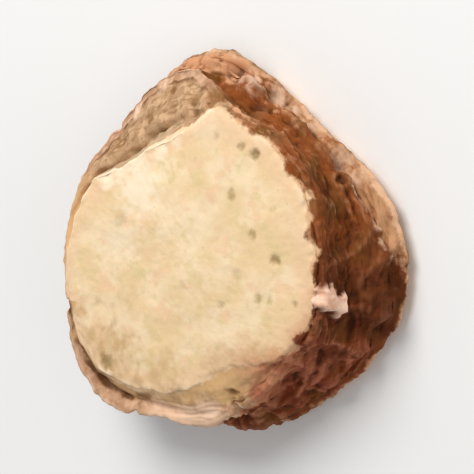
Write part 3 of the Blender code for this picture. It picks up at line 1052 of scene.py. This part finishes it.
class Shading:
    """Builds a material's nodes. A value may be a number, an output, or a share's or attribute's name."""

    def __init__(self, name):
        self.material = bpy.data.materials.new(name)
        self.material.use_nodes = True
        self.tree = self.material.node_tree
        self.shader = self.tree.nodes["Principled BSDF"]
        coordinates = self.node("TexCoord").outputs["Object"]
        inputs = {"Vector": coordinates, "Scale": 1 / MM}
        self.place = self.node("VectorMath", inputs, operation="SCALE").outputs[0]
        split = self.node("SeparateXYZ", {0: self.place}).outputs
        inputs = {axis: self.times(split[axis], STREAK_STRETCH) for axis in range(2)}
        inputs[2] = self.node("Attribute", attribute_name="across").outputs["Fac"]
        self.run = self.node("CombineXYZ", inputs).outputs[0]

    def plug(self, value, socket):
        """Give a socket a value or a colour."""
        if isinstance(value, str):
            value = self.named(value)
        if isinstance(value, bpy.types.NodeSocket):
            self.tree.links.new(value, socket)
        else:
            socket.default_value = linear(value) if isinstance(value, tuple) else value

    def named(self, name):
        """A named share, or an attribute of the mesh."""
        if name in RISES:
            return self.ramp(*RISES[name])
        for kinds, place in ((PATCHES, self.place), (STREAKS, self.run)):
            if name in kinds:
                return self.ramp(self.noise(place, *kinds[name][0]), *kinds[name][1:])
        return self.node("Attribute", attribute_name=name).outputs["Fac"]

    def node(self, kind, inputs=None, **settings):
        """Add a node with its settings and inputs."""
        made = self.tree.nodes.new("ShaderNode" + kind)
        for name, value in settings.items():
            setattr(made, name, value)
        for key, value in (inputs or {}).items():
            self.plug(value, made.inputs[key])
        return made

    def noise(self, place, spacing, detail, rough=0.55):
        """Noise from 0 to 1 whose features have a size in millimetres."""
        inputs = {"Vector": place, "Scale": 1 / spacing, "Detail": detail, "Roughness": rough}
        return self.node("TexNoise", inputs).outputs["Fac"]

    def math(self, operation, first, second):
        """Result of a sum on values."""
        return self.node("Math", {0: first, 1: second}, operation=operation).outputs[0]

    def plus(self, first, second):
        """Sum of two values."""
        return self.math("ADD", first, second)

    def times(self, first, *others):
        """Product of values."""
        for other in others:
            first = self.math("MULTIPLY", first, other)
        return first

    def ramp(self, value, low, high, to_low=0, to_high=1):
        """Smooth rise of a value between two limits."""
        inputs = {"Value": value, "From Min": low, "From Max": high, "To Min": to_low, "To Max": to_high}
        return self.node("MapRange", inputs, interpolation_type="SMOOTHSTEP").outputs["Result"]

    def mix(self, share, first, second):
        """Mix of two colours."""
        made = self.node("Mix", data_type="RGBA")
        inputs = {"Factor_Float": share, "A_Color": first, "B_Color": second}
        for socket in made.inputs:
            if socket.identifier in inputs:
                self.plug(inputs[socket.identifier], socket)
        return next(socket for socket in made.outputs if socket.identifier == "Result_Color")

    def layers(self, colour, *others):
        """A colour with others laid over it. Each comes with the values whose product is its share."""
        for other, *shares in others:
            colour = self.mix(self.times(*shares), colour, other)
        return colour


def flesh_colour(paint):
    """Starchy cream of the cut faces, with olive, pink and tan patches, brown vessels, painted highlight
    where they stand out and along the straight edge, and painted shade in their creases.
    """
    blush = paint.math("MAXIMUM", "blush", "pink flesh")
    return paint.layers(
        CREAM,
        (CREAM_PALE, "pale flesh"),
        (CREAM_OLIVE, "olive flesh"),
        (CREAM_PINK, paint.math("MAXIMUM", blush, "flesh near its edge")),
        # Whiter starch, and painted highlight along the flesh's straight edge
        (CREAM_BLOOM_AND_HIGHLIGHT, "bloom_and_highlight", BLOOM_AND_HIGHLIGHT_SHARE),
        (CREAM_TAN, "stain", "stain patches"),
        (CREAM_TAN, "flecks"),
        (VESSEL_BROWN, "vessel", "vessel patches", VESSEL_SHARE),
        # Painted highlight where the face stands out, then painted shade in its creases
        (CREAM_HIGHLIGHT, "proud flesh highlight", "open flesh"),
        (CREAM_TAN, "shaded flesh creases"),
    )


def cortex_colour(paint):
    """Tan of the torn band outside the flesh, with painted shade in its creases and hollows, and golden
    where it is bleached.
    """
    bleached = paint.times("bleached", "bleached patches")
    return paint.layers(
        CORTEX_TAN,
        (CORTEX_PALE, "pale cortex"),
        (CORTEX_BROWN, "brown cortex"),
        (CORTEX_BROWN, "cortex streaks"),
        # Painted shade in the band's creases and hollows
        (CORTEX_BROWN, "shaded cortex creases"),
        (CORTEX_HOLLOW_SHADE, "shaded cortex hollows"),
        (CREAM_TAN, "stain", CORTEX_STAIN),
        (CORTEX_GOLD, paint.math("MINIMUM", bleached, BLEACHED_SHARE)),
    )


def bark_colour(paint):
    """Red-brown bark: maroon and brown patches, pale dust with painted highlight on what stands out, painted
    shade in the folds and over part of it.
    """
    # What stands out gets pale dust and painted highlight
    proud = paint.times(paint.plus("proud bark", "proud folds"), "dust streaks", "dust")
    dust_and_highlight = paint.plus(proud, paint.times("thick dust", "dust patches"))
    deep = paint.plus("shaded bark hollows", "shaded bark creases")
    return paint.layers(
        BARK_RED,
        (BARK_BROWN, "brown bark"),
        (BARK_MAROON, "maroon", "maroon patches"),
        (BARK_DARK, "bark streaks"),
        # Painted shade over part of the bark
        (BARK_DARK, "shade", "shade patches"),
        (paint.mix("maroon", BARK_DUST_AND_HIGHLIGHT, BARK_MAUVE), paint.math("MINIMUM", dust_and_highlight, DUST_SHARE)),
        # Painted shade in the bark's hollows and creases
        (BARK_FOLD_SHADE, paint.math("MINIMUM", deep, FOLD_SHADE_SHARE)),
    )


def inner_colour(paint, waver, covered, in_bark, in_skin):
    """Flesh, the band outside it, and the brown line inside the skin."""
    in_flesh = paint.plus("flesh", waver)
    rubbed = paint.times(paint.ramp(in_bark, *RUBBED_BORDER), "maroon side", covered, "rubbed patches")
    return paint.layers(
        cortex_colour(paint),
        (EDGE_PINK, paint.ramp(covered, *COVER_BORDER)),
        (flesh_colour(paint), paint.ramp(in_flesh, *FLESH_BORDER)),
        (RUB_BROWN, rubbed),
        (SKIN_BROWN, paint.ramp(in_skin, *SKIN_LINE), "skin line patches", "unbleached", "open"),
    )


def skin_layer(paint, in_skin):
    """Colour of the skin at the crest, with painted highlight and painted light on it, and the values that
    its share is the product of.
    """
    colour = paint.layers(
        SKIN_PALE,
        (SKIN_TAN, "tan skin"),
        # Painted highlight where the skin stands out
        (SKIN_HIGHLIGHT, "proud skin highlight", "skin highlight patches"),
        # Painted light on part of the crest's skin, which lies in shade
        (SKIN_HIGHLIGHT, "painted_light", PAINTED_LIGHT_SHARE),
    )
    inner = paint.ramp(in_skin, *SKIN_INNER)
    outer = paint.ramp(in_skin, *SKIN_OUTER)
    return colour, inner, outer, "skin patches", "unrubbed", "open skin"


def rim_layers(paint):
    """The flange's tan, and the pale lines of its two edges."""
    tan = paint.mix("rim streaks", RIM_TAN, RIM_BROWN)
    flange = paint.ramp(paint.plus("flange", "flange patches"), *FLANGE_BORDER)
    line = paint.ramp(paint.plus("rimline", "rim line patches"), *RIM_LINE_BORDER)
    return (tan, flange), (RIM_LINE, line)


def slice_material():
    """Material of the slice. Its attributes tell flesh, cortex, bark and skin apart, and where shade and
    highlight are painted.
    """
    paint = Shading("dried_white_turmeric")
    waver = paint.plus("small waver", "wide waver")
    covered = paint.math("SUBTRACT", 1, "open")
    in_bark = paint.plus("bark", paint.times(waver, paint.math("MAXIMUM", covered, OPEN_WAVER)))
    in_skin = paint.plus("skin", waver)
    colour = paint.layers(
        inner_colour(paint, waver, covered, in_bark, in_skin),
        (bark_colour(paint), paint.ramp(in_bark, *BARK_BORDER)),
        (RUB_BROWN, "rub", "rub patches", paint.ramp(in_bark, *RUB_BORDER)),
        skin_layer(paint, in_skin),
        # Painted grey shadow on the step below the flesh's straight edge
        (STEP_PAINTED_SHADOW, "step", "step shadow patches"),
        *rim_layers(paint),
        # Painted highlight spots on the crest, the flange and the rim
        (SKIN_HIGHLIGHT, "painted_highlights", HIGHLIGHT_SHARE),
        # Painted shade in the dips and in the crest's notches
        (DIP_PAINTED_SHADE, "dip", "dip shade patches"),
        # Painted shade deep in the cracks and in the root scars' pits
        (PIT_PAINTED_SHADE, "pit", PIT_SHARE),
        (paint.mix("pink flake", FLAKE_WHITE, FLAKE_PINK), "flake"),
    )
    grain = paint.noise(paint.place, *BUMP_GRAIN)
    bump = {"Height": grain, "Strength": BUMP_STRENGTH, "Distance": BUMP_HEIGHT * MM}
    inputs = paint.shader.inputs
    paint.plug(colour, inputs["Base Color"])
    paint.plug("roughness", inputs["Roughness"])
    paint.plug(SPECULAR, inputs["Specular IOR Level"])
    paint.plug(paint.node("Bump", bump).outputs["Normal"], inputs["Normal"])
    return paint.material


# The floor: half its width, the gap that keeps it clear of the slice's flat back, and its grey
FLOOR_REACH = 600
FLOOR_GAP = 0.02
FLOOR_GREY = 0.9


def add_object(name, data, axes=None, place=None):
    """An object in the scene, with three axes and a place where they are given."""
    made = bpy.data.objects.new(name, data)
    if axes:
        pose = Matrix(axes).transposed().to_4x4()
        pose.translation = place
        made.matrix_world = pose
    bpy.context.scene.collection.objects.link(made)
    return made


def floor_object():
    """Plain pale floor."""
    size = FLOOR_REACH * MM
    level = -FLOOR_GAP * MM
    mesh = bpy.data.meshes.new("floor")
    corners = [(-size, -size, level), (size, -size, level), (size, size, level), (-size, size, level)]
    mesh.from_pydata(corners, [], [(0, 1, 2, 3)])
    material = bpy.data.materials.new("pale_floor")
    material.use_nodes = True
    shader = material.node_tree.nodes["Principled BSDF"]
    shader.inputs["Base Color"].default_value = (FLOOR_GREY, FLOOR_GREY, FLOOR_GREY, 1)
    shader.inputs["Roughness"].default_value = 0.9
    mesh.materials.append(material)
    return add_object("floor", mesh)


# The camera looks down at the slice, and is rolled so that it stands as in the photograph
CAMERA_ELEVATION = radians(52)
CAMERA_ROLL = radians(105)
CAMERA_LENS = 300
SENSOR_WIDTH = 36
VIEW_WIDTH = 38.5
# Place that the camera looks at, measured from the rhizome's axis on the lower face
AIM = (1, -1.94, 2.48)
# Soft studio lights: direction in the camera's own axes, distance and size in metres, power, and colour
LIGHTS = {
    "key": ((-0.55, 0.65, 0.75), 0.4, 0.22, 1.35, (1, 0.98, 0.95)),
    "fill": ((0.7, -0.2, 0.9), 0.5, 0.4, 0.3, (1, 0.98, 0.96)),
}
SURROUND_WHITE = (1, 1, 1, 1)
SURROUND_STRENGTH = 0.42


def camera_axes():
    """Directions to the right, up and back of the camera."""
    rise = sin(CAMERA_ELEVATION)
    run = cos(CAMERA_ELEVATION)
    level_right = Vector((1, 0, 0))
    level_up = Vector((0, rise, run))
    right = cos(CAMERA_ROLL) * level_right - sin(CAMERA_ROLL) * level_up
    up = sin(CAMERA_ROLL) * level_right + cos(CAMERA_ROLL) * level_up
    back = Vector((0, -run, rise))
    return right, up, back


def place_camera(target):
    """Camera at the photograph's viewing angle, framed on the slice."""
    right, up, back = camera_axes()
    camera = bpy.data.cameras.new("camera")
    camera.lens = CAMERA_LENS
    camera.sensor_width = SENSOR_WIDTH
    camera.clip_start = 0.01
    place = target + back * (VIEW_WIDTH * MM * CAMERA_LENS / SENSOR_WIDTH)
    bpy.context.scene.camera = add_object("camera", camera, (right, up, back), place)


def area_light(name, target):
    """One of the square lights, facing the slice."""
    direction, away, size, power, colour = LIGHTS[name]
    right, up, back = camera_axes()
    towards = (direction[0] * right + direction[1] * up + direction[2] * back).normalized()
    light = bpy.data.lights.new(name, "AREA")
    light.size = size
    light.energy = power
    light.color = colour
    turned = towards.to_track_quat("Z", "Y").to_matrix()
    add_object(name, light, turned.transposed(), target + towards * away)


def light_scene(target):
    """Soft studio light, with a pale surround."""
    for name in LIGHTS:
        area_light(name, target)
    world = bpy.data.worlds.new("surround")
    world.use_nodes = True
    background = world.node_tree.nodes["Background"]
    background.inputs["Color"].default_value = SURROUND_WHITE
    background.inputs["Strength"].default_value = SURROUND_STRENGTH
    bpy.context.scene.world = world
    bpy.context.scene.view_settings.view_transform = "Standard"


def main():
    """Build the looks around the frame."""
    root, middle = slice_object()
    root.data.materials.append(slice_material())
    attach(root, "root")
    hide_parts(NODE)
    floor_object()
    target = (Vector(AIM) - Vector(middle)) * MM
    place_camera(target)
    light_scene(target)


main()
